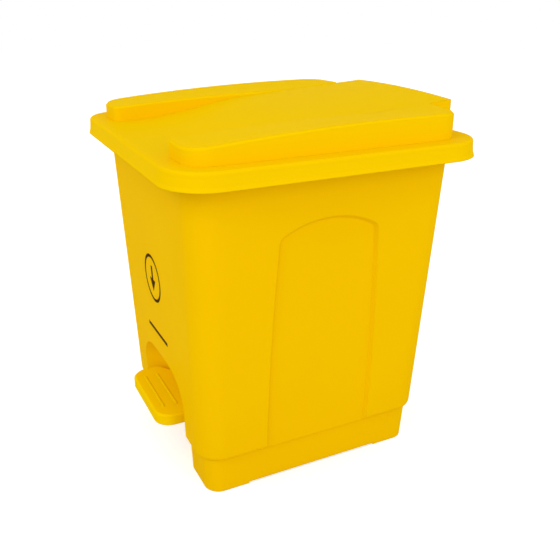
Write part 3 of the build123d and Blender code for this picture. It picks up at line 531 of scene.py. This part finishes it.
# %% Screws
def screw_piece(node_name, direction, body):
    """Replaces a node of plain screws by detailed ones, in the same places."""
    head_height = SCREW_SIZES["Head height"]
    reach = Vector(direction)
    span_axis = Vector([abs(c) for c in direction])
    boxes = clusters(node_name, [i for i in range(3) if not direction[i]])
    spans = [(high - low).dot(span_axis) for low, high in boxes]
    seats = [
        (low + high) / 2 - reach * (span / 2 - head_height)
        for (low, high), span in zip(boxes, spans)
    ]
    length = round((spans[0] - head_height) / MM, 1) * MM
    piece = made_by(screws, node_name + "_detailed", seats, direction, {"Length": length})
    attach(piece, body)
    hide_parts(node_name)
    print(piece.name, len(seats), "of", round(length / MM, 1), "mm, faces", len(piece.data.polygons))
    return piece


UP, TO_FRONT = (0, 0, 1), (0, -1, 0)
screw_piece("plinth_screws", UP, "bin")
screw_piece("clamp_screws", UP, "bin")
screw_piece("cover_screws", TO_FRONT, "bin")
screw_piece("pedal_screws", UP, "pedal")

# %% [markdown]
# The front wall has a mark printed with a soft pad in dark brown ink, a few hundredths of a
# millimetre thick. Pad printing leaves pinholes where the ink is thinner and the yellow shines
# through. One flat brown would look like a sticker, so a fine noise mixes in a lighter brown,
# and the eye sees ink that is a little uneven. Real pinholes are a few tenths of a millimetre
# wide, and they are drawn at 1.5 mm, so that they show. The ink is as dull as the wall.

# %% Printing ink
PINHOLE_SIZE = 1.5 * MM
PINHOLE_FROM, PINHOLE_TO = 0.55, 0.8
PINHOLE_SHARE = 0.25
INK_ROUGHNESS = 0.5


def printing_ink(name, colour, thin_colour):
    """Pad-printed ink: dark and dull, with faint pinholes of thinner ink."""
    material, tree, shader = new_material(name)
    shader.inputs["Roughness"].default_value = INK_ROUGHNESS
    shader.inputs["Specular IOR Level"].default_value = NO_GLOSS
    place = add_node(tree, "ShaderNodeTexCoord")
    speckle = add_node(tree, "ShaderNodeTexNoise", None, {
        "Vector": (place, "Object"), "Scale": 1 / PINHOLE_SIZE, "Detail": 2.0})
    thinness = add_node(tree, "ShaderNodeMapRange", None, {
        "Value": (speckle, "Fac"), "From Min": PINHOLE_FROM, "From Max": PINHOLE_TO,
        "To Max": PINHOLE_SHARE})
    tone = add_node(tree, "ShaderNodeMix", {"data_type": "RGBA"}, {
        "Factor": (thinness, "Result"),
        COLOUR_A: linear_colour(colour), COLOUR_B: linear_colour(thin_colour)})
    tree.links.new(tone.outputs[COLOUR_MIXED], shader.inputs["Base Color"])
    return material


brown_ink = printing_ink("printing ink dark brown", "#452604", "#8A6A10")
print(brown_ink.name, "nodes", len(brown_ink.node_tree.nodes))

# %% [markdown]
# The mark is a plain ring with an arrow that points down into the bin, and a plain bar below it.
# The wall's own material could paint it, but a thin piece has crisp edges from any distance. It
# is drawn flat first, as an outline across and up. The arrow's points are in millimetres from the
# ring's centre, and the bar's are from the middle of the bin and the floor.

# %% Outline of the mark
RING_CENTRE_X, RING_CENTRE_Z = -3 * MM, 231 * MM
RING_RADIUS = 30 * MM
RING_STROKE = 4 * MM
RING_SIDES = 96
ARROW = [(-3, 16), (-3, -1), (-10.5, -1), (0, -17), (10.5, -1), (3, -1), (3, 16)]
ARROW_FACES = [(0, 1, 5, 6), (2, 3, 4)]
BAR = [(-40, 155.6), (34, 155.6), (34, 160.2), (-40, 160.2)]
BAR_FACES = [(0, 1, 2, 3)]


def ring_outline():
    """Two circles of points about the ring's centre, and the faces between them."""
    turns = [i * math.tau / RING_SIDES for i in range(RING_SIDES)]
    points = [
        (RING_CENTRE_X + radius * math.cos(turn), RING_CENTRE_Z + radius * math.sin(turn))
        for radius in (RING_RADIUS - RING_STROKE, RING_RADIUS)
        for turn in turns
    ]
    after = [(i + 1) % RING_SIDES for i in range(RING_SIDES)]
    faces = [(i, RING_SIDES + i, RING_SIDES + after[i], after[i]) for i in range(RING_SIDES)]
    return points, faces


def mark_outline():
    """Points across and up, and faces, of the ring, the arrow and the bar."""
    arrow = [(RING_CENTRE_X + x * MM, RING_CENTRE_Z + z * MM) for x, z in ARROW]
    bar = [(x * MM, z * MM) for x, z in BAR]
    points, faces = [], []
    for shape, shape_faces in (ring_outline(), (arrow, ARROW_FACES), (bar, BAR_FACES)):
        start = len(points)
        points += shape
        faces += [tuple(start + i for i in face) for face in shape_faces]
    return points, faces


print("points of the mark", len(mark_outline()[0]))

# %% [markdown]
# The wall leans, so each point of the outline is moved back to it. The lean could be copied from
# the drawing of the bin, but two rays cast at the container from the front measure it on the
# solid itself. The Solidify modifier gives the ink its thickness, from just above the wall to
# just inside it, so no gap shows at its edge.

# %% Printed mark
INK_LIFT = 0.06 * MM
INK_THICKNESS = 0.08 * MM
LOW_RAY_Z, HIGH_RAY_Z = 150 * MM, 260 * MM
RAY_START_Y = -1.0


def front_wall_y(z):
    """Where a ray from the front meets the container at a height."""
    container = frame["nodes"]["bin_body"]
    hit, place, _, _ = container.ray_cast(Vector((0, RAY_START_Y, z)), Vector((0, 1, 0)))
    if not hit:
        raise ValueError("no wall behind the printed mark")
    return place.y


def printed_mark():
    """Ring, arrow and bar, laid on the leaning front wall."""
    low_y = front_wall_y(LOW_RAY_Z)
    lean = (front_wall_y(HIGH_RAY_Z) - low_y) / (HIGH_RAY_Z - LOW_RAY_Z)
    points, faces = mark_outline()
    on_wall = [(x, low_y + lean * (z - LOW_RAY_Z) - INK_LIFT, z) for x, z in points]
    mesh = bpy.data.meshes.new("printed_mark")
    mesh.from_pydata(on_wall, [], faces)
    mesh.materials.append(brown_ink)
    piece = bpy.data.objects.new("printed_mark", mesh)
    bpy.context.scene.collection.objects.link(piece)
    layer = piece.modifiers.new("ink thickness", "SOLIDIFY")
    layer.thickness = INK_THICKNESS
    # An offset of -1 lets the layer grow behind its drawn face, towards the wall.
    layer.offset = -1.0
    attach(piece, "bin")
    print("the wall leans", round(math.degrees(math.atan(-lean)), 2), "degrees")
    return piece


mark = printed_mark()
print(mark.name, "faces", len(mark.data.polygons))

# %% [markdown]
# The camera could be moved about by hand until the picture looks right. This one stands where the
# photographer stood: its place, its tilt and its focal length were worked out from the edges of
# the bin in the picture, so that the render can be laid over it.

# %% Camera
CAMERA_PLACE = (0.7638, -0.3621, 0.5567)
CAMERA_TILT, CAMERA_HEADING = 67.2, 63.7
CAMERA_LENS, CAMERA_SENSOR = 45.75, 36.0

camera_data = bpy.data.cameras.new("camera")
camera_data.lens = CAMERA_LENS
camera_data.sensor_width = CAMERA_SENSOR
camera = bpy.data.objects.new("camera", camera_data)
camera.location = CAMERA_PLACE
camera.rotation_euler = (math.radians(CAMERA_TILT), 0.0, math.radians(CAMERA_HEADING))
bpy.context.scene.collection.objects.link(camera)
bpy.context.scene.camera = camera
print("camera", round(camera.location.z, 2), "m above the floor, lens", camera_data.lens, "mm")

# %% [markdown]
# The bin stands on white in plain studio light. Stronger lamps would make any floor white, but
# they would bleach the yellow too. Instead the floor is pale grey for the light that it throws
# back on the bin, and it glows only for rays that the camera sees, so it shows as white and still
# keeps the bin's soft shadow. The helper below tells those rays from the others. Metal and
# anything clear show the same white, because reflected and transmitted rays count as seen.

# %% Rays that the camera sees
def seen_ray(tree):
    """One for rays that the camera sees directly, in a reflection or through something clear."""
    rays = add_node(tree, "ShaderNodeLightPath")
    direct = add_node(tree, "ShaderNodeMath", {"operation": "MAXIMUM"}, {
        0: (rays, "Is Camera Ray"), 1: (rays, "Is Transmission Ray")})
    return add_node(tree, "ShaderNodeMath", {"operation": "MAXIMUM"}, {
        0: (direct, "Value"), 1: (rays, "Is Glossy Ray")})


print("helper", seen_ray.__name__)

# %% [markdown]
# The floor is a round sheet of matt paper. A small one would show its rim, so this one is so wide
# that the rim lies far behind the bin, where paper and backdrop are equally white. From below the
# paper is clear, so that the underside of the bin can be looked at.

# %% Floor
FLOOR_RADIUS = 6.0
FLOOR_SIDES = 64
FLOOR_GLOW = 0.58
PAPER_ROUGHNESS = 0.9


def floor_paper():
    """Pale matt paper that glows for the camera's rays and is clear from below."""
    material, tree, shader = new_material("paper white")
    shader.inputs["Base Color"].default_value = linear_colour("#E0E0DF")
    shader.inputs["Roughness"].default_value = PAPER_ROUGHNESS
    shader.inputs["Specular IOR Level"].default_value = 0.0
    shader.inputs["Emission Color"].default_value = linear_colour("#FFFFFF")
    glow = add_node(tree, "ShaderNodeMath", {"operation": "MULTIPLY"}, {
        0: (seen_ray(tree), "Value"), 1: FLOOR_GLOW})
    tree.links.new(glow.outputs["Value"], shader.inputs["Emission Strength"])
    side = add_node(tree, "ShaderNodeNewGeometry")
    clear = add_node(tree, "ShaderNodeBsdfTransparent")
    # A Mix Shader takes its factor first, then the shader for 0 and the shader for 1.
    sheet = add_node(tree, "ShaderNodeMixShader", None, {
        0: (side, "Backfacing"), 1: (shader, "BSDF"), 2: (clear, "BSDF")})
    tree.links.new(sheet.outputs["Shader"], tree.nodes["Material Output"].inputs["Surface"])
    return material


def studio_floor():
    """A large round sheet."""
    turns = [i * math.tau / FLOOR_SIDES for i in range(FLOOR_SIDES)]
    rim = [(FLOOR_RADIUS * math.cos(turn), FLOOR_RADIUS * math.sin(turn), 0.0) for turn in turns]
    mesh = bpy.data.meshes.new("floor")
    mesh.from_pydata(rim, [], [list(range(FLOOR_SIDES))])
    mesh.materials.append(floor_paper())
    floor = bpy.data.objects.new("floor", mesh)
    bpy.context.scene.collection.objects.link(floor)
    return floor


paper = studio_floor()
print(paper.name, "of", len(paper.data.vertices), "points,", 2 * FLOOR_RADIUS, "m across")

# %% [markdown]
# The world is made in the same way: a soft even sky for the light that it gives, and plain white
# for what the camera sees. A sky picture would bring colours and highlights that the photograph
# doesn't have.

# %% World
SKY_STRENGTH = 0.78
BACKDROP_STRENGTH = 1.0

world = bpy.data.worlds.new("studio")
world.use_nodes = True
bpy.context.scene.world = world
world_tree = world.node_tree
world_tree.nodes.clear()
sky = add_node(world_tree, "ShaderNodeBackground", None, {
    "Color": linear_colour("#FFFFFF"), "Strength": SKY_STRENGTH})
backdrop = add_node(world_tree, "ShaderNodeBackground", None, {
    "Color": linear_colour("#FFFFFF"), "Strength": BACKDROP_STRENGTH})
either = add_node(world_tree, "ShaderNodeMixShader", None, {
    0: (seen_ray(world_tree), "Value"), 1: (sky, "Background"), 2: (backdrop, "Background")})
add_node(world_tree, "ShaderNodeOutputWorld", None, {"Surface": (either, "Shader")})
print("world nodes", len(world_tree.nodes))

# %% [markdown]
# In the picture the side wall is a little brighter than the front and the lid, and no shadow has
# a hard edge. A sun or a spot would draw one. Large soft boxes don't: a main one stands high on
# the pedal side, and a second one lifts the side wall and the side of the rails.

# %% Lights
LAMP_AIM = (0, 0, 0.25)


def soft_box(name, place, size, watts):
    """A square area lamp that looks at the middle of the bin."""
    data = bpy.data.lights.new(name, "AREA")
    data.size = size
    data.energy = watts
    lamp = bpy.data.objects.new(name, data)
    lamp.location = place
    lamp.rotation_euler = (Vector(LAMP_AIM) - Vector(place)).to_track_quat("-Z", "Y").to_euler()
    bpy.context.scene.collection.objects.link(lamp)
    print(name, round(data.energy, 1), "W,", round(data.size, 1), "m across")
    return lamp


soft_box("main light", place=(0.6, -1.6, 1.5), size=1.2, watts=9.2)
soft_box("side light", place=(1.9, 0.4, 0.9), size=1.4, watts=8)

# %% [markdown]
# A film-like view transform would grey the white and dull the yellow, so the Standard one is used,
# which shows colours as they are written.

# %% View transform
bpy.context.scene.view_settings.view_transform = "Standard"
